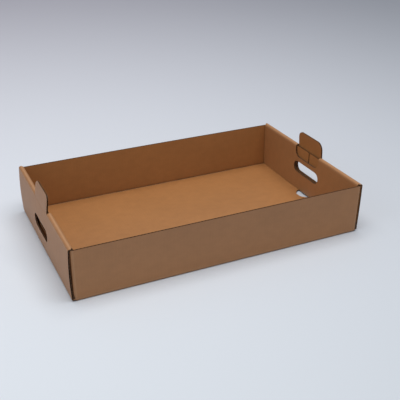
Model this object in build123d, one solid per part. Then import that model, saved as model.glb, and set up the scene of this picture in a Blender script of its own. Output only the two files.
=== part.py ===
"""A corrugated tray folded from one die-cut blank.

The long side walls are one board thick and carry corner flaps.  Each end wall is
an outer panel that rolls over the corner flaps and comes down inside the tray,
where two small lock tabs hold it in slots in the floor.  A rounded stacking tab
is cut out of the roll-over and stands up in the plane of the outer panel, so it
leaves a notch of its own shape in the inner panel.

X runs along the tray, Y across it and Z up.  The origin is the middle of the
underside.  Sizes are in millimetres.
"""

import os
from math import pi

from build123d import *

# Board
board = 3.0                # thickness of the corrugated board
fold_radius = 0.5          # inside radius of a crease
layer_gap = 0.4            # air between boards that lie against each other

# Tray
length = 600.0             # over the end walls
width = 372.0              # over the side walls
side_height = 102.5        # height of the side walls and of their corner flaps

# Outer end panel, and the roll-over that comes down inside
outer_panel_inset = 1.0    # from a side wall's face back to the outer panel's cut edge
inner_panel_gap = 1.0      # from a side wall's inside to the inner panel's cut edge

# Corner flaps
flap_joint_shift = -4.0    # how far off the middle the two flaps of an end meet
flap_joint_gap = 3.0       # open gap where they meet

# Stacking tab and the notch that it leaves
tab_width = 87.0
notch_depth = 26.0         # below the top of the end wall
tab_corner = 15.0
knife_gap = 0.7            # between the tab's side and the notch's side

# Hand hole
hand_hole_length = 95.0
hand_hole_height = 26.0
hand_hole_strip = 11.0     # strip of board between the notch and the hand hole

# Lock tabs of the inner panel, and their slots in the floor
lock_tab_width = 26.0
lock_tab_spacing = 132.0
lock_slot_gap = 0.5        # all round a lock tab in its slot
lock_tab_lift = 0.3        # the tab's tip stays this far above the table

# Half-round hole in the floor beside each end wall
floor_hole_radius = 22.0

# Half sizes, and the radius and run of a crease on its outside face
half_length = length / 2
half_width = width / 2
outside_radius = fold_radius + board
crease_run = outside_radius * pi / 2

# Faces of the end wall's three layers, from outside in
outer_face = half_length
outer_back = outer_face - board
flap_face = outer_back - layer_gap
flap_back = flap_face - board
inner_back = flap_back - layer_gap
room_face = inner_back - board

# Heights
floor_top = board
end_height = side_height + layer_gap + board
roll_over_start = end_height - outside_radius
notch_floor = end_height - notch_depth
spine_run = outer_back - inner_back - 2 * fold_radius
tab_run = 2 * crease_run + spine_run + (roll_over_start - notch_floor)
tab_top = roll_over_start + tab_run
hand_hole_centre = notch_floor - hand_hole_strip - hand_hole_height / 2

# Half widths across the tray
fold_start_y = half_width - outside_radius
outer_panel_half = half_width - outer_panel_inset
inner_panel_half = half_width - board - inner_panel_gap

# Where the creases start along the tray
fold_start_x = half_length - outside_radius
flap_fold_x = flap_back - fold_radius
spine_end = inner_back + fold_radius


def slab(x, y, z):
    """A box between pairs of limits along each axis."""
    size = [limits[1] - limits[0] for limits in (x, y, z)]
    middle = [(limits[0] + limits[1]) / 2 for limits in (x, y, z)]
    return Pos(*middle) * Box(*size)


def crease(plane, side_x, side_y, half_run):
    """A quarter turn of board round the plane's origin, in one quadrant of the plane."""
    ring = Circle(outside_radius) - Circle(fold_radius)
    reach = outside_radius
    quadrant = Pos(side_x * reach / 2, side_y * reach / 2) * Rectangle(reach, reach)
    return extrude(plane * (ring & quadrant), amount=half_run, both=True)


def across(x, y, z):
    """A plane at a point, with its own x along the tray and its own y upwards."""
    return Plane(origin=(x, y, z), x_dir=(1, 0, 0), z_dir=(0, -1, 0))


def along(x, y, z):
    """A plane at a point, with its own x across the tray and its own y upwards."""
    return Plane(origin=(x, y, z), x_dir=(0, 1, 0), z_dir=(1, 0, 0))


def level(x, y, z):
    """A plane at a point, with its own x along the tray and its own y across it."""
    return Plane(origin=(x, y, z), x_dir=(1, 0, 0), z_dir=(0, 0, 1))


def make_floor():
    """The flat floor, up to the start of its four creases."""
    return slab((-fold_start_x, fold_start_x), (-fold_start_y, fold_start_y), (0, board))


def make_side_wall(side):
    """A side wall with its bottom crease."""
    face = side * half_width
    inside = side * (half_width - board)
    foot = outside_radius
    wall = slab((-flap_fold_x, flap_fold_x), sorted((inside, face)), (foot, side_height))
    bottom = crease(along(0, side * fold_start_y, foot), side, -1, flap_fold_x)
    return wall + bottom


def make_corner_flap(end, side):
    """A corner flap and the upright crease that joins it to its side wall."""
    flap_end = flap_joint_shift + side * flap_joint_gap / 2
    foot = outside_radius
    flap = slab(
        sorted((end * flap_back, end * flap_face)),
        sorted((side * fold_start_y, flap_end)),
        (foot, side_height),
    )
    middle = (foot + side_height) / 2
    corner = level(end * flap_fold_x, side * fold_start_y, middle)
    return flap + crease(corner, end, side, (side_height - foot) / 2)


def round_ended_plate(start, end_edge, half, x):
    """The outline of an upright plate across X, with round corners at its end edge."""
    plate = Rectangle(2 * half, abs(end_edge - start))
    corners = plate.vertices().sort_by(Axis.Y)
    rounded = corners[-2:] if end_edge > start else corners[:2]
    return along(x, 0, (start + end_edge) / 2) * fillet(rounded, tab_corner)


def make_end_wall(end):
    """Outer panel, roll-over, inner panel with its notch and lock tabs, and the stacking tab."""
    outer = slab(
        sorted((end * outer_back, end * outer_face)),
        (-outer_panel_half, outer_panel_half),
        (outside_radius, roll_over_start),
    )
    bottom = crease(across(end * fold_start_x, 0, outside_radius), end, -1, fold_start_y)
    first = crease(across(end * fold_start_x, 0, roll_over_start), end, 1, outer_panel_half)
    spine = slab(
        sorted((end * fold_start_x, end * spine_end)),
        (-outer_panel_half, outer_panel_half),
        (end_height - board, end_height),
    )
    second = crease(across(end * spine_end, 0, roll_over_start), -end, 1, inner_panel_half)
    inner = slab(
        sorted((end * inner_back, end * room_face)),
        (-inner_panel_half, inner_panel_half),
        (floor_top + layer_gap, roll_over_start),
    )
    roll_over = first + spine + second + inner - make_notch(end)
    wall = outer + bottom + roll_over + make_stacking_tab(end)
    for side in (-1, 1):
        wall += make_lock_tab(end, side)
    return wall - make_hand_hole(end)


def make_notch(end):
    """The space that the stacking tab leaves in the roll-over and the inner panel."""
    half = tab_width / 2 + knife_gap
    above = end_height + board
    outline = round_ended_plate(above, notch_floor, half, end * (room_face - board))
    through_spine = slab(
        sorted((end * inner_back, end * (outer_face + board))),
        (-half, half),
        (roll_over_start, above),
    )
    return extrude(outline, amount=end * 2 * board) + through_spine


def make_stacking_tab(end):
    """The rounded tab that stands up from the outer panel."""
    outline = round_ended_plate(roll_over_start, tab_top, tab_width / 2, end * outer_back)
    return extrude(outline, amount=end * board)


def make_lock_tab(end, side):
    """A small tab at the foot of the inner panel that sits in a slot in the floor."""
    middle = side * lock_tab_spacing / 2
    return slab(
        sorted((end * inner_back, end * room_face)),
        (middle - lock_tab_width / 2, middle + lock_tab_width / 2),
        (lock_tab_lift, floor_top + layer_gap),
    )


def make_lock_slot(end, side):
    """The slot in the floor for a lock tab."""
    middle = side * lock_tab_spacing / 2
    reach = lock_tab_width / 2 + lock_slot_gap
    return slab(
        sorted((end * (inner_back + lock_slot_gap), end * (room_face - lock_slot_gap))),
        (middle - reach, middle + reach),
        (-board, 2 * board),
    )


def make_hand_hole(end):
    """The hand hole with round ends, through every layer of the end wall."""
    slot = SlotOverall(hand_hole_length, hand_hole_height)
    outline = along(end * (room_face - board), 0, hand_hole_centre) * slot
    return extrude(outline, amount=end * (outer_face - room_face + 2 * board))


def make_floor_hole(end):
    """The half-round hole in the floor, whose straight side is on the end crease."""
    disc = Pos(end * fold_start_x, 0, board / 2) * Cylinder(floor_hole_radius, 3 * board)
    reach = 2 * floor_hole_radius
    keep = sorted((end * fold_start_x, end * (fold_start_x - reach)))
    return disc & slab(keep, (-reach, reach), (-2 * board, 3 * board))


def make_tray():
    """The whole folded blank as one solid."""
    tray = make_floor()
    for side in (-1, 1):
        tray += make_side_wall(side)
    for end in (-1, 1):
        tray -= make_floor_hole(end)
        for side in (-1, 1):
            tray -= make_lock_slot(end, side)
            tray += make_corner_flap(end, side) - make_hand_hole(end)
        tray += make_end_wall(end)
    return tray


os.makedirs("parts", exist_ok=True)
folded_tray = make_tray()
extent = folded_tray.bounding_box()
print("solids", len(folded_tray.solids()), "volume mm3", round(folded_tray.volume))
print("from", extent.min, "to", extent.max)
print("end height", round(end_height, 2), "inside length", round(2 * room_face, 2))
export_step(folded_tray, "parts/folded_tray.step")
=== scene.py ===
# %% [markdown]
# # A corrugated tray, folded from one sheet
# The object is a low open tray of brown corrugated board. It is die-cut from one flat sheet and folded
# by hand, with no glue. Corrugated board is three papers: a flat liner, a wavy medium and another flat
# liner. This lesson makes the sheet the way the factory does: the three papers are laid out flat, the
# outline and the holes are cut, the creases are pressed, and only then is the sheet folded up.
#
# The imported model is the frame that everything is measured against, so it is loaded first.

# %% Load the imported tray
import math

import bmesh
import bpy
from mathutils import Matrix, Vector, noise


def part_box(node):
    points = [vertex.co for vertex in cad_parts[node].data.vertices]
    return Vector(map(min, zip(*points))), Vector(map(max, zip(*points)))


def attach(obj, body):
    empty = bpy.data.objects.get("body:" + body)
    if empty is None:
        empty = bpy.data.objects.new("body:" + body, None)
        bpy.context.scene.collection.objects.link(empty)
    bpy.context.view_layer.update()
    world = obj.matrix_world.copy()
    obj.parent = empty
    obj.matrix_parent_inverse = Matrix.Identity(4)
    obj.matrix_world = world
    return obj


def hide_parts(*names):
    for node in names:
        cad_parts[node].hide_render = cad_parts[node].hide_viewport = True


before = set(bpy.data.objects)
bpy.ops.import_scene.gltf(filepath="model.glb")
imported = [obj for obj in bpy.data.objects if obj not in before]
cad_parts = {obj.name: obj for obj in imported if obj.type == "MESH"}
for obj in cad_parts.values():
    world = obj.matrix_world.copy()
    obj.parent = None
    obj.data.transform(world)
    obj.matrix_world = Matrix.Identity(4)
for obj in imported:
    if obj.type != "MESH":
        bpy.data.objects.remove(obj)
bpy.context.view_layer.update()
low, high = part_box("folded_tray")
print("packed tray from", tuple(low), "to", tuple(high))

# %% [markdown]
# The tray's own sizes come next, in metres. The length, the width and the height of the stacking tab
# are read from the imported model. The board's thickness and the places of the creases and the holes are
# the ones the tray was designed with.

# %% The tray's sizes
MM = 0.001
HALF_LENGTH = high.x
HALF_WIDTH = high.y
TAB_TOP = high.z
BOARD = 3 * MM
FOLD_RADIUS = 0.5 * MM
LAYER_GAP = 0.4 * MM
SIDE_HEIGHT = 102.5 * MM
OUTER_PANEL_INSET = 1 * MM
INNER_PANEL_GAP = 1 * MM
OUTER_HALF = HALF_WIDTH - OUTER_PANEL_INSET
INNER_HALF = HALF_WIDTH - BOARD - INNER_PANEL_GAP
FLAP_JOINT = -4 * MM
FLAP_JOINT_GAP = 3 * MM
TAB_HALF = 43.5 * MM
TAB_CORNER = 15 * MM
KNIFE = 0.7 * MM
NOTCH_DEPTH = 26 * MM
HAND_HOLE = (95 * MM, 26 * MM)
HAND_HOLE_STRIP = 11 * MM
LOCK_TAB_HALF = 13 * MM
LOCK_TAB_PLACE = 66 * MM
LOCK_TAB_LIFT = 0.3 * MM
LOCK_SLOT_GAP = 0.5 * MM
FLOOR_HOLE_RADIUS = 22 * MM

# %% [markdown]
# When a crease is folded, the outside liner keeps its length and the rest of the board is squeezed.
# So a quarter turn uses up a quarter of the circle that the outside liner makes. With that one fact,
# the flat sheet's lines follow from the folded tray's sizes. `across` runs along the tray's length in
# the flat sheet, and `up` runs along its width.

# %% Where the creases and edges lie in the flat sheet
ROUND = FOLD_RADIUS + BOARD
CREASE = ROUND * math.pi / 2
END_HEIGHT = SIDE_HEIGHT + LAYER_GAP + BOARD
ROLL_START = END_HEIGHT - ROUND
FLAP_FOLD = HALF_LENGTH - 2 * (BOARD + LAYER_GAP) + LAYER_GAP - FOLD_RADIUS
INNER_BACK = HALF_LENGTH - 2 * (BOARD + LAYER_GAP)
SPINE_END = INNER_BACK + FOLD_RADIUS
HOLE_HEIGHT = END_HEIGHT - NOTCH_DEPTH - HAND_HOLE_STRIP - HAND_HOLE[1] / 2

END_FOLD = HALF_LENGTH - ROUND
OUTER_START = END_FOLD + CREASE
OUTER_END = OUTER_START + ROLL_START - ROUND
SPINE_START = OUTER_END + CREASE
SPINE_STOP = SPINE_START + END_FOLD - SPINE_END
INNER_START = SPINE_STOP + CREASE
INNER_END = INNER_START + ROLL_START - BOARD - LAYER_GAP
LOCK_END = INNER_START + ROLL_START - LOCK_TAB_LIFT
TAB_END = OUTER_START + TAB_TOP - ROUND

SIDE_FOLD = HALF_WIDTH - ROUND
SIDE_START = SIDE_FOLD + CREASE
SIDE_END = SIDE_START + SIDE_HEIGHT - ROUND
FLAP_START = FLAP_FOLD + CREASE
FLAP_END = {side: FLAP_START + SIDE_FOLD - side * FLAP_JOINT - FLAP_JOINT_GAP / 2 for side in (-1, 1)}
print("flat sheet is", round(2 * LOCK_END, 3), "by", round(2 * SIDE_END, 3), "m")

# %% [markdown]
# ## The three papers
# Each paper starts as a plain grid that covers the whole sheet. Its lines are moved so that they lie
# on every crease and straight edge, with a few more inside each crease, because that is where the
# paper bends. The rest can stay coarse. The medium is the same grid with its height following a wave.
# Its ridges, the flutes, run across the tray, so they stand upright in the long walls and lie level
# in the end walls.

# %% Lines of the grids
LINER = 0.3 * MM
MEDIUM = 0.25 * MM
FLUTE_PITCH = 6.5 * MM
WAVE_SWING = 1.14 * MM
WAVE_STEPS = 6
CREASE_PARTS = 4
PRESSED_EDGES = (1.8 * MM, 4 * MM)
THINNEST_STRIP = 0.25 * MM
HAIR = 1e-6


def bend_lines(start):
    """Lines inside a crease, from its start to its end."""
    return [start + CREASE * part / CREASE_PARTS for part in range(CREASE_PARTS + 1)]


def crease_lines(start):
    """Lines inside a crease, and two on each side of it where the pressed line fades out."""
    near, far = PRESSED_EDGES
    stop = start + CREASE
    return [start - far, start - near] + bend_lines(start) + [stop + near, stop + far]


def fill(stops, step):
    """All the stops, and lines between them where they are further apart than the step."""
    tidy = []
    for stop in sorted(stops):
        if not tidy or stop - tidy[-1] > THINNEST_STRIP:
            tidy.append(stop)
    lines = tidy[:1]
    for near, far in zip(tidy, tidy[1:]):
        parts = max(1, math.ceil((far - near) / step - HAIR))
        lines += [near + (far - near) * part / parts for part in range(1, parts + 1)]
    return lines


def both_sides(stops):
    """The stops and their mirror images."""
    return sorted(set(stops) | {-stop for stop in stops})


edge_stops = [END_FOLD, OUTER_START, OUTER_END, SPINE_START]
edge_stops += [SPINE_STOP, INNER_START, INNER_END, LOCK_END]
edge_stops += [FLAP_FOLD, FLAP_START] + list(FLAP_END.values())
up_stops = [INNER_HALF, SIDE_FOLD, OUTER_HALF, SIDE_START, SIDE_END]
print(len(edge_stops), "stops along the sheet,", len(up_stops), "up it")

# %% [markdown]
# The sheet's outline is a cross of rectangles, one for each panel. A face of the grid stays if its
# middle lies on one of them.

# %% The panels of the sheet


def on_sheet(across, up):
    """Whether a point of the flat sheet lies on board, holes left aside."""
    side = 1 if up > 0 else -1
    a, b = abs(across), abs(up)
    floor = a < END_FOLD and b < SIDE_FOLD
    wall = a < FLAP_FOLD and SIDE_FOLD < b < SIDE_END
    flap = FLAP_FOLD < a < FLAP_END[side] and SIDE_START < b < SIDE_END
    end_crease = END_FOLD < a < OUTER_START and b < SIDE_FOLD
    outer = OUTER_START < a < SPINE_STOP and b < OUTER_HALF
    inner = SPINE_STOP < a < INNER_END and b < INNER_HALF
    lock_tab = INNER_END < a < LOCK_END and abs(b - LOCK_TAB_PLACE) < LOCK_TAB_HALF
    return floor or wall or flap or end_crease or outer or inner or lock_tab


# %% [markdown]
# ## Die-cutting
# The holes have round ends, so they can't follow the grid. Each outline is convex, and a convex outline
# is cut the way a guillotine would: one straight cut along each of its sides, made with `bisect_plane`
# on the faces nearby, and then the faces inside are lifted out.

# %% A guillotine for convex outlines
ARC_PARTS = 10
CUT_SNAP = 1e-7


def arc(centre, radius, start, stop):
    """Points on an arc, with angles in degrees."""
    angles = [math.radians(start + (stop - start) * part / ARC_PARTS) for part in range(ARC_PARTS + 1)]
    return [(centre[0] + radius * math.cos(t), centre[1] + radius * math.sin(t)) for t in angles]


def inside(outline, point):
    """Whether a point lies inside a convex outline that turns to the left."""
    for near, far in zip(outline, outline[1:] + outline[:1]):
        if (far[0] - near[0]) * (point[1] - near[1]) < (far[1] - near[1]) * (point[0] - near[0]):
            return False
    return True


def score(paper, outline):
    """Cuts the faces near an outline along each of its sides, and returns those faces."""
    reach = [(min(values), max(values)) for values in zip(*outline)]
    near = set()
    for face in paper.faces:
        spans = [(min(places), max(places)) for places in zip(*(vert.co.xy for vert in face.verts))]
        if all(span[0] < limit[1] and span[1] > limit[0] for span, limit in zip(spans, reach)):
            near.add(face)
    pieces = list(near | {e for f in near for e in f.edges} | {v for f in near for v in f.verts})
    for start, stop in zip(outline, outline[1:] + outline[:1]):
        normal = Vector((stop[1] - start[1], start[0] - stop[0], 0))
        if normal.length > HAIR:
            normal.normalize()
            place = (start[0], start[1], 0)
            cut = bmesh.ops.bisect_plane(paper, geom=pieces, dist=CUT_SNAP, plane_co=place, plane_no=normal)
            pieces = cut["geom"]
    return [piece for piece in pieces if isinstance(piece, bmesh.types.BMFace)]


def lift_out(paper, faces, outline, keep=None):
    """Removes the faces inside the outline, apart from those inside the outline to keep."""
    gone = []
    for face in faces:
        middle = face.calc_center_median()
        if inside(outline, middle) and not (keep and inside(keep, middle)):
            gone.append(face)
    bmesh.ops.delete(paper, geom=gone, context="FACES")


# %% [markdown]
# The outlines are written once, for the end that lies towards plus, and turned round for the other.
# Where the end wall is folded double, its hand hole is cut three times: in the outer panel, in the inner
# panel, and half in each corner flap. The stacking tab is cut along its edge only, by a thin knife, and
# stays on the sheet.

# %% Outlines of the holes


def slot_outline(middle, along_across):
    """A hand hole: two half circles joined by straight sides."""
    radius = HAND_HOLE[1] / 2
    reach = HAND_HOLE[0] / 2 - radius
    across, up = middle
    if along_across:
        return arc((across + reach, up), radius, -90, 90) + arc((across - reach, up), radius, 90, 270)
    return arc((across, up + reach), radius, 0, 180) + arc((across, up - reach), radius, 180, 360)


def tab_outline(grow):
    """The stacking tab from its root to its round corners, grown by a margin."""
    half, far, radius = TAB_HALF + grow, TAB_END + grow, TAB_CORNER + grow
    corner = (far - radius, half - radius)
    sides = arc((corner[0], -corner[1]), radius, -90, 0) + arc(corner, radius, 0, 90)
    return [(OUTER_END, half), (OUTER_END, -half)] + sides


def rectangle(across, up):
    """A rectangle between two limits each way."""
    return [(across[0], up[0]), (across[1], up[0]), (across[1], up[1]), (across[0], up[1])]


def turned(outline, end):
    """The same outline at the other end of the sheet, still turning to the left."""
    return outline if end > 0 else [(-across, up) for across, up in reversed(outline)]


def cut_holes(paper):
    """Every hole of the sheet, and the knife line round each stacking tab."""
    outer_hole = (OUTER_START + HOLE_HEIGHT - ROUND, 0)
    inner_hole = (INNER_START + ROLL_START - HOLE_HEIGHT, 0)
    holes = [slot_outline(outer_hole, False), slot_outline(inner_hole, False)]
    holes.append(arc((END_FOLD, 0), FLOOR_HOLE_RADIUS, 90, 270))
    for side in (-1, 1):
        flap_hole = (FLAP_START + SIDE_FOLD, side * (SIDE_START + HOLE_HEIGHT - ROUND))
        holes.append(slot_outline(flap_hole, True))
        lock = sorted(side * (LOCK_TAB_PLACE + edge * (LOCK_TAB_HALF + LOCK_SLOT_GAP)) for edge in (-1, 1))
        slot = (INNER_BACK - BOARD - LOCK_SLOT_GAP, INNER_BACK + LOCK_SLOT_GAP)
        holes.append(rectangle(slot, lock))
    for end in (-1, 1):
        for hole in holes:
            outline = turned(hole, end)
            lift_out(paper, score(paper, outline), outline)
        tab, around = turned(tab_outline(0), end), turned(tab_outline(KNIFE), end)
        score(paper, tab)
        lift_out(paper, score(paper, around), around, keep=tab)


LOCK_TAB_ROOT = 0.1 * MM


def trim_lock_tabs(paper):
    """Scores the sides of the lock tabs, which start a little past the inner panel's edge."""
    for end in (-1, 1):
        for side in (-1, 1):
            lock = sorted(side * (LOCK_TAB_PLACE + edge * LOCK_TAB_HALF) for edge in (-1, 1))
            score(paper, turned(rectangle((INNER_END + LOCK_TAB_ROOT, LOCK_END), lock), end))


# %% [markdown]
# A paper is then given its thickness with `solidify`, which also closes its cut edges with a rim. The
# liners are flat, and the medium is a wave that just reaches both of them. A liner's rim faces are marked
# while the paper still lies flat, so that they take a dark colour, which is painted shade of the cut edges.

# %% Make one paper
RIM_LEAN = 0.3


def make_paper(name, columns, rows, wave, thickness, level):
    """One flat paper of the sheet, cut out, with holes, a wave and a thickness, its middle at a level."""
    paper = bmesh.new()
    half = 0.5
    bmesh.ops.create_grid(paper, x_segments=len(columns) - 1, y_segments=len(rows) - 1, size=half)
    for vert in paper.verts:
        column = round((vert.co.x + half) * (len(columns) - 1))
        row = round((vert.co.y + half) * (len(rows) - 1))
        swing = wave * math.sin(2 * math.pi * columns[column] / FLUTE_PITCH)
        vert.co = Vector((columns[column], rows[row], swing))
    trim_lock_tabs(paper)
    off = [face for face in paper.faces if not on_sheet(*face.calc_center_median().xy)]
    bmesh.ops.delete(paper, geom=off, context="FACES")
    cut_holes(paper)
    bmesh.ops.solidify(paper, geom=paper.faces[:], thickness=thickness)
    bmesh.ops.recalc_face_normals(paper, faces=paper.faces[:])
    for face in paper.faces:
        # Rim faces of a liner take the dark cut-edge colour, which is painted shade.
        face.material_index = 1 if abs(face.normal.z) < RIM_LEAN and not wave else 0
    heights = [vert.co.z for vert in paper.verts]
    bmesh.ops.translate(paper, verts=paper.verts[:], vec=(0, 0, level - (min(heights) + max(heights)) / 2))
    open_edges = sum(1 for edge in paper.edges if not edge.is_manifold)
    thick = round((max(heights) - min(heights)) / MM, 2)
    print(name, len(paper.faces), "faces,", open_edges, "open edges,", thick, "mm from top to bottom")
    return paper


# %% [markdown]
# Now the three papers are made. The liners need lines at the creases, and a few between, so that they can
# bow. The medium needs six lines for each wave along the sheet, but few across it, because its flutes are
# straight. That choice keeps the whole tray under 200,000 triangles.

# %% The three papers, flat
LINER_STEP = 18 * MM
MEDIUM_STEP = 46 * MM
crease_starts = (END_FOLD, FLAP_FOLD, OUTER_END, SPINE_STOP)
crease_stops = [line for start in crease_starts for line in crease_lines(start)]
liner_columns = fill(both_sides(edge_stops + crease_stops), LINER_STEP)
liner_rows = fill(both_sides(up_stops + crease_lines(SIDE_FOLD)), LINER_STEP)
wave_count = math.floor(LOCK_END / FLUTE_PITCH * WAVE_STEPS)
wave_stops = [count * FLUTE_PITCH / WAVE_STEPS for count in range(-wave_count, wave_count + 1)]
medium_columns = fill(both_sides(edge_stops) + wave_stops, FLUTE_PITCH)
medium_rows = fill(both_sides(up_stops + bend_lines(SIDE_FOLD)), MEDIUM_STEP)

outside_liner = make_paper("outside liner", liner_columns, liner_rows, 0, LINER, LINER / 2)
inside_liner = make_paper("inside liner", liner_columns, liner_rows, 0, LINER, BOARD - LINER / 2)
medium = make_paper("medium", medium_columns, medium_rows, WAVE_SWING, MEDIUM, BOARD / 2)

# %% [markdown]
# ## Folding
# Now the flat sheet is folded by moving its points. A point's place on the sheet says which panel it is
# on. Inside a crease it goes round an arc, and past it the panel stands straight. `depth` is how far the
# point lies from the outside face, so the three papers fold together and stay apart. A pressed crease is
# also thinner than the board round it, because the creasing rule crushes the medium from the inside.

# %% How near a point is to a crease
CRUSH = 0.42
CRUSH_REACH = 6 * MM
BETWEEN_PANEL_AND_FLAP = (OUTER_HALF + SIDE_START) / 2


def fade_out(share):
    """1 at 0, falling smoothly to 0 at 1 and at -1."""
    return 0.5 + 0.5 * math.cos(math.pi * share)


def on_tab(across, up):
    """Whether a point of the sheet is on a stacking tab, inside the middle of the knife line."""
    return abs(across) > OUTER_END and inside(tab_outline(KNIFE / 2), (abs(across), up))


def crease_nearness(across, up):
    """1 in the middle of a crease, fading to 0 beside it."""
    a, b = abs(across), abs(up)
    gaps = [abs(b - SIDE_FOLD - CREASE / 2)] if a < FLAP_FOLD else []
    if a > FLAP_FOLD and b > BETWEEN_PANEL_AND_FLAP or a > FLAP_FOLD - CREASE and b > SIDE_START:
        gaps.append(abs(a - FLAP_FOLD - CREASE / 2))
    elif a > END_FOLD - CRUSH_REACH:
        starts = [END_FOLD] if on_tab(across, up) else [END_FOLD, OUTER_END, SPINE_STOP]
        gaps += [abs(a - start - CREASE / 2) for start in starts]
    return fade_out(min(gaps + [CRUSH_REACH]) / CRUSH_REACH)


# %% [markdown]
# An end wall is the longest walk: up the outer panel, over two creases with a narrow spine between them,
# and down again as the inner panel. The stacking tab leaves that walk at the first crease, because it is
# cut free there, and goes straight on up. The side walls and their corner flaps take only quarter turns.

# %% Fold one point


def quarter_turn(start, past, depth):
    """Where a point inside a crease goes: along the panel before the crease, and up from its face."""
    angle = past / ROUND
    return start + (ROUND - depth) * math.sin(angle), ROUND - (ROUND - depth) * math.cos(angle)


def fold_end_wall(a, depth, tab):
    """Place along the tray and height of a point past the end crease, at the end towards plus."""
    round_depth = ROUND - depth
    if a < OUTER_START:
        return quarter_turn(END_FOLD, a - END_FOLD, depth)
    if a < OUTER_END or tab:
        return END_FOLD + round_depth, ROUND + a - OUTER_START
    if a < SPINE_START:
        angle = (a - OUTER_END) / ROUND
        return END_FOLD + round_depth * math.cos(angle), ROLL_START + round_depth * math.sin(angle)
    if a < SPINE_STOP:
        return END_FOLD - (a - SPINE_START), ROLL_START + round_depth
    if a < INNER_START:
        angle = (a - SPINE_STOP) / ROUND
        return SPINE_END - round_depth * math.sin(angle), ROLL_START + round_depth * math.cos(angle)
    return SPINE_END - round_depth, ROLL_START - (a - INNER_START)


def fold(across, up, depth):
    """The folded place of a point of the flat sheet, and the name of its panel."""
    end, side = math.copysign(1, across), math.copysign(1, up)
    a, b = abs(across), abs(up)
    depth *= 1 - CRUSH * crease_nearness(across, up)
    if a > END_FOLD and b < BETWEEN_PANEL_AND_FLAP:
        tab = on_tab(across, up)
        x, z = fold_end_wall(a, depth, tab)
        panel = "tab" if tab else "inner" if a > SPINE_STOP else "outer"
        return Vector((end * x, up, z)), panel
    if b <= SIDE_FOLD:
        return Vector((across, up, depth)), "floor"
    if b < SIDE_START and a < FLAP_START:
        y, z = quarter_turn(SIDE_FOLD, b - SIDE_FOLD, depth)
        return Vector((across, side * y, z)), "wall"
    height = ROUND + max(0, b - SIDE_START)
    if a <= FLAP_FOLD:
        return Vector((across, side * (HALF_WIDTH - depth), height)), "wall"
    if a < FLAP_START:
        x, inward = quarter_turn(FLAP_FOLD, a - FLAP_FOLD, depth)
    else:
        x, inward = FLAP_FOLD + ROUND - depth, ROUND + a - FLAP_START
    return Vector((end * x, side * (HALF_WIDTH - inward), height)), "flap"


# %% [markdown]
# A real tray folded by hand isn't perfectly square. The outer panels belly out a little between their
# creases, one end wall leans, the long walls bow, the stacking tabs lean, and the floor isn't quite flat.
# Each of these is a slow curve that moves a point by a millimetre or a few. A cloth simulation would be
# the wrong tool, because board hardly stretches or sags. In each pair, -1 is the left end or the front
# wall, and 1 the other. A leaning end has two leans, at its front and at its back corner.

# %% How the folded board settles
BELLY = {-1: 4.5 * MM, 1: 1.5 * MM}
BELLY_AT_SIDES = 0.5
TAB_LEAN = {-1: 5 * MM, 1: 2.5 * MM}
TAB_CURL = 1.5
END_LEAN = {-1: (0, 0), 1: (3 * MM, -1 * MM)}
LEAN_START = 170 * MM
WALL_BOW = {-1: 0.5 * MM, 1: 2.0 * MM}
WALL_HOLLOW = {-1: 3.0 * MM, 1: 0.5 * MM}
STIFF_CORNER = 60 * MM
RIPPLE = 0.6 * MM
RIPPLE_SCALE = (7, 9)
RIPPLE_MARGIN = 50 * MM


def settle(place, panel):
    """Moves a folded point to where the worn-in board has it."""
    end, side = math.copysign(1, place.x), math.copysign(1, place.y)
    rise = min(1, max(0, place.z / END_HEIGHT))
    moved = place.copy()
    at_front, at_back = END_LEAN[end]
    lean = at_back + (at_front - at_back) * (0.5 - 0.5 * place.y / HALF_WIDTH)
    share = (abs(place.x) - LEAN_START) / (FLAP_FOLD - LEAN_START)
    moved.x += end * lean * rise * min(1, max(0, share))
    if panel == "outer":
        swell = BELLY_AT_SIDES + (1 - BELLY_AT_SIDES) * fade_out(place.y / HALF_WIDTH)
        moved.x += end * BELLY[end] * swell * math.sin(math.pi * rise)
    if panel == "tab":
        lift = max(0, place.z - ROLL_START) / (TAB_TOP - ROLL_START)
        moved.x -= end * TAB_LEAN[end] * lift ** TAB_CURL
    if panel == "wall":
        span = math.cos(math.pi * place.x / (2 * HALF_LENGTH))
        hollow = 4 * rise * (1 - rise) * min(1, (HALF_LENGTH - abs(place.x)) / STIFF_CORNER)
        moved.y += side * (WALL_BOW[side] * rise * span - WALL_HOLLOW[side] * hollow)
    if panel == "floor":
        ripple = noise.noise(Vector((place.x * RIPPLE_SCALE[0], place.y * RIPPLE_SCALE[1], 0)))
        to_crease = min(SIDE_FOLD - abs(place.y), END_FOLD - abs(place.x))
        moved.z += RIPPLE * (1 + ripple) * min(1, max(0, to_crease / RIPPLE_MARGIN))
    return moved


# %% [markdown]
# Each paper is now folded. Before a point moves, its place on the flat sheet and its nearness to a crease
# are written on it as attributes. The materials read them later, so that the grain runs with the board
# round every fold.

# %% Fold the three papers
SHARP_ANGLE = math.radians(50)


def fold_paper(paper):
    """Folds a flat paper and notes on each point where it was on the sheet."""
    sheet = paper.verts.layers.float_vector.new("sheet")
    crease = paper.verts.layers.float.new("crease")
    for vert in paper.verts:
        across, up, depth = vert.co
        vert[sheet] = vert.co
        vert[crease] = crease_nearness(across, up)
        vert.co = settle(*fold(across, up, depth))
    for edge in paper.edges:
        edge.smooth = edge.calc_face_angle(0) < SHARP_ANGLE
    for face in paper.faces:
        face.smooth = True


for paper in (outside_liner, inside_liner, medium):
    fold_paper(paper)
print("folded three papers, with creases crushed by", CRUSH)

# %% [markdown]
# The three papers are glued into one board at the factory, so they become one mesh here. Each liner takes
# a material, the medium takes another, and the liners' cut edges take the last one.

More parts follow.
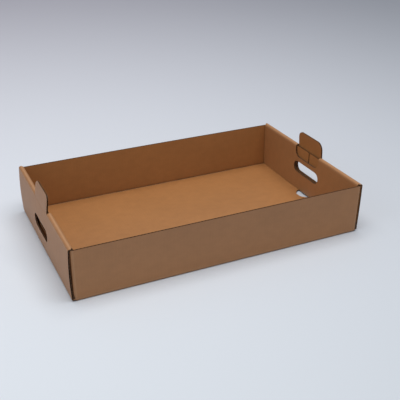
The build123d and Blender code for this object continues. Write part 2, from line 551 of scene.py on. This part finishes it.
# %% Glue the papers together
RIM_MATERIAL = 3
tray_mesh = bpy.data.meshes.new("corrugated_tray")
board = bmesh.new()
for number, paper in enumerate((outside_liner, inside_liner, medium)):
    for face in paper.faces:
        face.material_index = RIM_MATERIAL if face.material_index else number
    part = bpy.data.meshes.new("paper")
    paper.to_mesh(part)
    board.from_mesh(part)
    paper.free()
    bpy.data.meshes.remove(part)
board.to_mesh(tray_mesh)
print("tray has", len(board.faces), "faces and", len(board.calc_loop_triangles()), "triangles")
board.free()
tray = bpy.data.objects.new("corrugated_tray", tray_mesh)
bpy.context.scene.collection.objects.link(tray)
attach(tray, "root")
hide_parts("folded_tray")

# %% [markdown]
# ## Kraft paper
# Unbleached kraft liner is brown, matt and a little cloudy. Close up it shows short fibres that run along
# the paper machine's direction, which is across the flutes, and a few dark flecks. The flutes print through
# as a faint washboard relief, whose stripes are also painted into the colour as shade. A crease gets painted
# shade in its bottom, most of all on the inside of the fold, and a painted highlight beside it, where the
# board bulges. Every pattern reads the point's place on the flat sheet, so it bends round the folds with the
# board.
#
# A node tree takes many lines to write, so a small helper comes first. It adds a node and fills its inputs
# with links or with plain values.

# %% A small helper for nodes


class Nodes:
    """Adds nodes to one tree, with links or plain values on their inputs."""

    def __init__(self, tree):
        self.tree = tree

    def add(self, kind, inputs=None, **settings):
        """A new node, with its settings made before its inputs are filled."""
        node = self.tree.nodes.new(kind)
        for name, value in settings.items():
            setattr(node, name, value)
        for name, value in (inputs or {}).items():
            if isinstance(value, bpy.types.NodeSocket):
                self.tree.links.new(value, node.inputs[name])
            else:
                node.inputs[name].default_value = value
        return node

    def math(self, operation, first, second=0.0):
        """One step of arithmetic."""
        return self.add("ShaderNodeMath", {0: first, 1: second}, operation=operation).outputs[0]

    def noise(self, place, stretch, scale, detail=3.0):
        """A noise that is stretched by the vector, from 0 to 1 about 0.5."""
        mapped = self.add("ShaderNodeMapping", {"Vector": place, "Scale": stretch})
        inputs = {"Vector": mapped.outputs[0], "Scale": scale, "Detail": detail}
        return self.add("ShaderNodeTexNoise", inputs).outputs["Fac"]

    def spread(self, value, low, high, to_low=0.0, to_high=1.0):
        """Spreads the stretch from low to high over another range, and stops at its ends."""
        inputs = {"Value": value, "From Min": low, "From Max": high, "To Min": to_low, "To Max": to_high}
        return self.add("ShaderNodeMapRange", inputs).outputs[0]

    def mix(self, factor, first, second, blend="MIX"):
        """Two colours mixed. A Mix node keeps its colours in inputs 6 and 7 and in output 2."""
        inputs = {0: factor, 6: first, 7: second}
        return self.add("ShaderNodeMix", inputs, data_type="RGBA", blend_type=blend).outputs[2]


# %% [markdown]
# One node group makes the paper, and each material gives it its own colour. A texture of a scanned sheet
# would be the other way, but noise has no edge and no repeat. Each noise is a stretch, a scale and a
# detail: the fibres are short streaks, the clouds about two centimetres wide, and the drifts wider still.

# %% The patterns of kraft paper
FIBRES = ((1.0, 7.0, 1.0), 520.0, 4.0)
CLOUDS = ((1.0, 1.4, 1.0), 55.0, 3.0)
DRIFTS = ((1.0, 1.0, 1.0), 7.0, 2.0)
FLECKS = ((1.0, 3.0, 1.0), 900.0, 1.0)
BREAKS = ((1.0, 1.0, 1.0), 40.0, 2.0)
MOST_OF_NOISE = (0.3, 0.7)
FIBRE_TONES = (0.93, 1.07)
DRIFT_TONES = (0.96, 1.04)
FLECK_RANGE = (0.70, 0.78)
FLECK_TONES = (1.0, 0.86)
# The washboard stripes in the colour are painted shade of the flute relief, which the bump also gives.
WASHBOARD_SHADE_TONE = 0.035
ROUGHNESS = (0.46, 0.58)

# %% [markdown]
# A crease leaves two painted marks. In its middle the paper is darkened as painted shade, in a line that is
# stronger here and weaker there, and much stronger on the inside of the fold. Beside it the paper is made
# paler as a painted highlight, where the board bulges. Both marks read the nearness to a crease, which is 1
# in its middle. The dark one reads the depth in the board too.

# %% The marks of a crease
CREASE_SHADE_BAND = (0.40, 0.80)
BEAD_HIGHLIGHT_BAND = (0.05, 0.4)
BREAK_RANGE = (0.35, 0.65)
BREAK_SHARES = (0.45, 1.0)
# The bottom of a crease is darkened as painted shade, stronger towards the inside face of the board.
CREASE_SHADE_DEPTHS = (0.4 * BOARD, 0.8 * BOARD)
CREASE_SHADE_SHARES = (0.12, 0.70)
# The pale band beside a crease is a painted highlight where the board bulges.
BEAD_HIGHLIGHT_SHARE = 0.10
BEAD_HIGHLIGHT_KRAFT = (0.75, 0.55, 0.36, 1.0)
CREASE_SHADE_KRAFT = (0.10, 0.050, 0.020, 1.0)

# %% [markdown]
# The same patterns give the paper its relief, the washboard most of all. The group puts out a colour, a
# roughness and a height, and the shader itself stays in each material.

# %% The relief of the paper
WASHBOARD_RELIEF = 0.6
FIBRE_RELIEF = 0.25
CLOUD_RELIEF = 0.35

# %% The kraft paper group
KRAFT_INPUTS = (
    ("Sheet", "NodeSocketVector"),
    ("Crease", "NodeSocketFloat"),
    ("Paper", "NodeSocketColor"),
    ("Washboard", "NodeSocketFloat"),
    ("Clouds", "NodeSocketFloat"),
)
KRAFT_OUTPUTS = (
    ("Color", "NodeSocketColor"),
    ("Roughness", "NodeSocketFloat"),
    ("Height", "NodeSocketFloat"),
)


def kraft_group():
    """Colour, roughness and height of kraft paper, from the place on the sheet and the crease."""
    group = bpy.data.node_groups.new("kraft_paper", "ShaderNodeTree")
    for name, kind in KRAFT_INPUTS:
        group.interface.new_socket(name, in_out="INPUT", socket_type=kind)
    for name, kind in KRAFT_OUTPUTS:
        group.interface.new_socket(name, in_out="OUTPUT", socket_type=kind)
    n = Nodes(group)
    given = n.add("NodeGroupInput").outputs
    sheet = given["Sheet"]
    fibres = n.noise(sheet, *FIBRES)
    clouds = n.noise(sheet, *CLOUDS)
    drifts = n.noise(sheet, *DRIFTS)
    flecks = n.noise(sheet, *FLECKS)
    breaks = n.noise(sheet, *BREAKS)
    along, _, depth = n.add("ShaderNodeSeparateXYZ", {0: sheet}).outputs
    stripes = n.math("SINE", n.math("MULTIPLY", along, 2 * math.pi / FLUTE_PITCH))
    washboard = n.math("MULTIPLY", stripes, given["Washboard"])

    fibre_tone = n.spread(fibres, *MOST_OF_NOISE, *FIBRE_TONES)
    cloud_tone = n.math("ADD", n.math("MULTIPLY", n.math("SUBTRACT", clouds, 0.5), given["Clouds"]), 1.0)
    drift_tone = n.spread(drifts, *MOST_OF_NOISE, *DRIFT_TONES)
    # Painted shade of the washboard relief, as faint stripes.
    washboard_shade_tone = n.math("ADD", n.math("MULTIPLY", washboard, WASHBOARD_SHADE_TONE), 1.0)
    dark_flecks = n.spread(flecks, *FLECK_RANGE, *FLECK_TONES)
    tone = fibre_tone
    for other in (cloud_tone, drift_tone, washboard_shade_tone, dark_flecks):
        tone = n.math("MULTIPLY", tone, other)
    tones = n.add("ShaderNodeCombineColor", {0: tone, 1: tone, 2: tone}).outputs[0]
    colour = n.mix(1.0, given["Paper"], tones, "MULTIPLY")

    pressed = n.spread(given["Crease"], *CREASE_SHADE_BAND)
    # A painted highlight beside the crease, kept out of its dark middle.
    bead_highlight = n.math("MULTIPLY", n.spread(given["Crease"], *BEAD_HIGHLIGHT_BAND), n.math("SUBTRACT", 1.0, pressed))
    colour = n.mix(n.math("MULTIPLY", bead_highlight, BEAD_HIGHLIGHT_SHARE), colour, BEAD_HIGHLIGHT_KRAFT)
    broken = n.math("MULTIPLY", pressed, n.spread(breaks, *BREAK_RANGE, *BREAK_SHARES))
    # crushed is the painted shade in the bottom of a crease, broken up by noise and stronger towards the
    # inside face.
    crushed = n.math("MULTIPLY", broken, n.spread(depth, *CREASE_SHADE_DEPTHS, *CREASE_SHADE_SHARES))
    colour = n.mix(crushed, colour, CREASE_SHADE_KRAFT)

    height = n.math("MULTIPLY", washboard, WASHBOARD_RELIEF)
    for pattern, relief in ((fibres, FIBRE_RELIEF), (clouds, CLOUD_RELIEF)):
        height = n.math("ADD", height, n.math("MULTIPLY", pattern, relief))
    out = n.add("NodeGroupOutput")
    group.links.new(colour, out.inputs["Color"])
    group.links.new(n.spread(fibres, *MOST_OF_NOISE, *ROUGHNESS), out.inputs["Roughness"])
    group.links.new(height, out.inputs["Height"])
    return group


KRAFT = kraft_group()
print("kraft paper group has", len(KRAFT.nodes), "nodes")

# %% [markdown]
# The two liners are nearly the same paper, so their colours hardly differ. The medium is a thinner, darker
# recycled paper, and its colour is made darker still as painted shade of the open flutes at the board's cut
# edges. The liners' cut edges get a dark colour that is painted shade too. Paper is matt, so the shader is a
# plain one with a rough surface, and a very low bump for the fibres.

# %% Materials of the board
RELIEF_DEPTH = 0.1 * MM


def paper_material(name, paper, washboard, clouds, bump):
    """A matt paper of one colour."""
    material = bpy.data.materials.new(name)
    material.use_nodes = True
    tree = material.node_tree
    tree.nodes.clear()
    n = Nodes(tree)
    sheet = n.add("ShaderNodeAttribute", attribute_name="sheet").outputs["Vector"]
    crease = n.add("ShaderNodeAttribute", attribute_name="crease").outputs["Fac"]
    inputs = {"Sheet": sheet, "Crease": crease, "Paper": paper, "Washboard": washboard, "Clouds": clouds}
    kraft = n.add("ShaderNodeGroup", inputs, node_tree=KRAFT)
    given = {"Strength": bump, "Distance": RELIEF_DEPTH, "Height": kraft.outputs["Height"]}
    relief = n.add("ShaderNodeBump", given)
    surface = {"Base Color": kraft.outputs["Color"], "Roughness": kraft.outputs["Roughness"]}
    shader = n.add("ShaderNodeBsdfPrincipled", surface | {"Normal": relief.outputs[0]})
    out = n.add("ShaderNodeOutputMaterial")
    tree.links.new(shader.outputs[0], out.inputs[0])
    return material


# %% The four papers
OUTSIDE_KRAFT = (0.345, 0.158, 0.060, 1.0)
INSIDE_KRAFT = (0.350, 0.152, 0.048, 1.0)
# The medium's colour is its own darker paper, made darker still as painted shade of its open flutes.
MEDIUM_KRAFT_AND_FLUTE_SHADE = (0.080, 0.036, 0.014, 1.0)
# The cut edges' colour is painted shade.
CUT_EDGE_SHADE = (0.150, 0.066, 0.024, 1.0)
LINER_FINISH = {"washboard": 0.25, "clouds": 0.2, "bump": 0.5}
RAW_FINISH = {"washboard": 0.0, "clouds": 0.3, "bump": 0.4}
tray_mesh.materials.append(paper_material("kraft_liner_outside", OUTSIDE_KRAFT, **LINER_FINISH))
tray_mesh.materials.append(paper_material("kraft_liner_inside", INSIDE_KRAFT, **LINER_FINISH))
tray_mesh.materials.append(paper_material("kraft_medium_and_flute_shade", MEDIUM_KRAFT_AND_FLUTE_SHADE, **RAW_FINISH))
tray_mesh.materials.append(paper_material("kraft_cut_edge_shade", CUT_EDGE_SHADE, **RAW_FINISH))
print("materials", [material.name for material in tray_mesh.materials])

# %% [markdown]
# ## The table, the light and the camera
# The tray stands on a pale floor that gets darker towards the back and to the right, seen from the camera.
# These fades are painted shade, painted on the floor by its own coordinates, so they stay put when the
# camera moves. The floor lies a hair below the tray, so that the two surfaces never share a place.

# %% Floor
CAMERA_TURN = math.radians(-25.17)
FLOOR_HALF = 30
FLOOR_DROP = 0.2 * MM
NEAR_FLOOR = (0.715, 0.755, 0.81, 1.0)
# The far and right colours are painted shade on the floor.
FAR_FLOOR_SHADE = (0.69, 0.675, 0.75, 1.0)
RIGHT_FLOOR_SHADE = (0.38, 0.42, 0.47, 1.0)
BACK_FADE = (-0.5, 2.2)
RIGHT_FADE = (-0.8, 0.9)
RIGHT_SHARE = 0.60
FLOOR_ROUGHNESS = 0.75
FLOOR_GLOSS = 0.2


def make_floor():
    """A wide pale floor, whose colour fades towards the back and the right as painted shade."""
    mesh = bpy.data.meshes.new("studio_floor")
    grid = bmesh.new()
    bmesh.ops.create_grid(grid, x_segments=1, y_segments=1, size=FLOOR_HALF)
    bmesh.ops.translate(grid, verts=grid.verts[:], vec=(0, 0, -FLOOR_DROP))
    grid.to_mesh(mesh)
    grid.free()
    floor = bpy.data.objects.new("studio_floor", mesh)
    bpy.context.scene.collection.objects.link(floor)
    material = bpy.data.materials.new("studio_floor")
    material.use_nodes = True
    tree = material.node_tree
    n = Nodes(tree)
    shader = tree.nodes["Principled BSDF"]
    place = n.add("ShaderNodeTexCoord").outputs["Object"]
    turn = {"Vector": place, "Rotation": (0, 0, -CAMERA_TURN)}
    turned_place = n.add("ShaderNodeMapping", turn).outputs[0]
    right, behind, _ = n.add("ShaderNodeSeparateXYZ", {0: turned_place}).outputs
    colour = n.mix(n.spread(behind, *BACK_FADE), NEAR_FLOOR, FAR_FLOOR_SHADE)
    to_right = n.math("MULTIPLY", n.spread(right, *RIGHT_FADE), RIGHT_SHARE)
    colour = n.mix(to_right, colour, RIGHT_FLOOR_SHADE)
    tree.links.new(colour, shader.inputs["Base Color"])
    shader.inputs["Roughness"].default_value = FLOOR_ROUGHNESS
    shader.inputs["Specular IOR Level"].default_value = FLOOR_GLOSS
    mesh.materials.append(material)


make_floor()
print("floor is", 2 * FLOOR_HALF, "m wide")

# %% [markdown]
# A large soft lamp hangs overhead and a weaker one fills from the left. The pale surroundings do the rest,
# so the shadows are soft and a colour looks about as it is written.

# %% Light
WORLD_COLOUR = (0.90, 0.94, 1.0, 1.0)
WORLD_STRENGTH = 0.36


def make_lamp(name, place, aim, size, power, colour):
    """A square soft lamp that faces a point."""
    lamp = bpy.data.lights.new(name, "AREA")
    lamp.shape = "SQUARE"
    lamp.size = size
    lamp.energy = power
    lamp.color = colour
    holder = bpy.data.objects.new(name, lamp)
    bpy.context.scene.collection.objects.link(holder)
    holder.location = place
    holder.rotation_euler = (Vector(aim) - Vector(place)).to_track_quat("-Z", "Y").to_euler()


WARM = (1.0, 0.985, 0.96)
COOL = (0.96, 0.98, 1.0)
make_lamp("overhead_softbox", place=(0.05, -0.2, 2.2), aim=(0, 0, 0), size=2.0, power=46, colour=WARM)
make_lamp("left_softbox", place=(-2.0, -0.4, 1.3), aim=(0, 0, 0.05), size=1.4, power=7, colour=COOL)
world = bpy.data.worlds.new("studio")
world.use_nodes = True
surroundings = world.node_tree.nodes["Background"]
surroundings.inputs["Color"].default_value = WORLD_COLOUR
surroundings.inputs["Strength"].default_value = WORLD_STRENGTH
bpy.context.scene.world = world
print("lamps", [lamp.name for lamp in bpy.data.lights])

# %% [markdown]
# The camera looks down on the tray's front left corner from 1.6 metres away, with a lens that is a little
# long, so that the walls hardly converge. Its place follows from the point that it looks at, its turn
# about the tray and its rise over the table.

# %% Camera
CAMERA_RISE = math.radians(27.29)
CAMERA_ROLL = math.radians(0.22)
CAMERA_DISTANCE = 1.6009
CAMERA_AIM = Vector((0.0664, 0.0735, 0))
LENS_MM = 64.75
SENSOR_MM = 36

camera = bpy.data.cameras.new("camera")
camera.lens = LENS_MM
camera.sensor_width = SENSOR_MM
camera_object = bpy.data.objects.new("camera", camera)
bpy.context.scene.collection.objects.link(camera_object)
back = Vector((
    math.sin(CAMERA_TURN) * math.cos(CAMERA_RISE),
    -math.cos(CAMERA_TURN) * math.cos(CAMERA_RISE),
    math.sin(CAMERA_RISE),
))
camera_object.location = CAMERA_AIM + back * CAMERA_DISTANCE
facing = back.to_track_quat("Z", "Y").to_matrix() @ Matrix.Rotation(CAMERA_ROLL, 3, "Z")
camera_object.rotation_euler = facing.to_euler()
bpy.context.scene.camera = camera_object
bpy.context.scene.view_settings.view_transform = "Standard"
print("camera at", tuple(round(value, 3) for value in camera_object.location))

# %% [markdown]
# Last, the scene is brought up to date. The bulges and leans may stand a few millimetres proud of the
# imported tray's box, and no more.

# %% Finish
bpy.context.view_layer.update()
